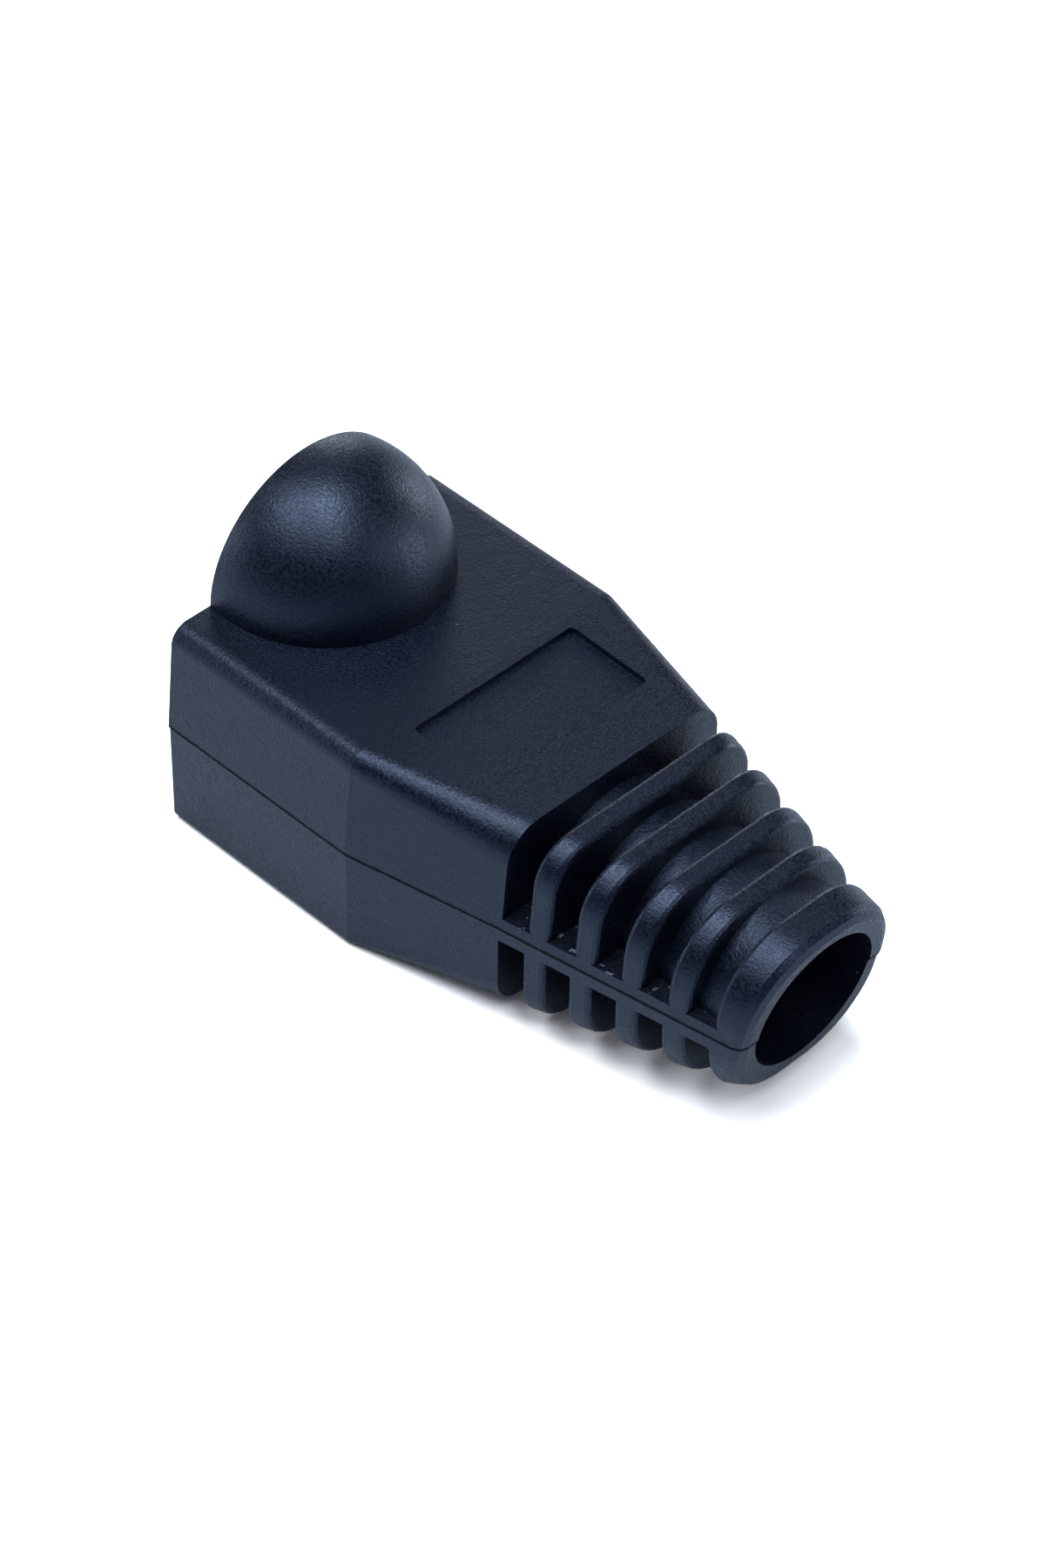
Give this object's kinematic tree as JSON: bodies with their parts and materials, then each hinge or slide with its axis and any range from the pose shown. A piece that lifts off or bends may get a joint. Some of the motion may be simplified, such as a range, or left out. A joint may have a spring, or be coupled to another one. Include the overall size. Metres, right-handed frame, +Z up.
{
  "type": "rj45 strain relief boot",
  "caption": "Moulded strain relief boot for an RJ45 plug, with a latch hood, a label recess and a ribbed neck for a round cable.",
  "frame": {"origin": "under the middle of the boot's length, on the plane of its flat underside", "axes": "+X towards the cable end, +Z up through the latch hood"},
  "size_m": [0.027, 0.0142, 0.0148],
  "materials": {
    "boot": "satin"
  },
  "bodies": {
    "root": {"strain_relief_boot": "boot"}
  },
  "joints": []
}
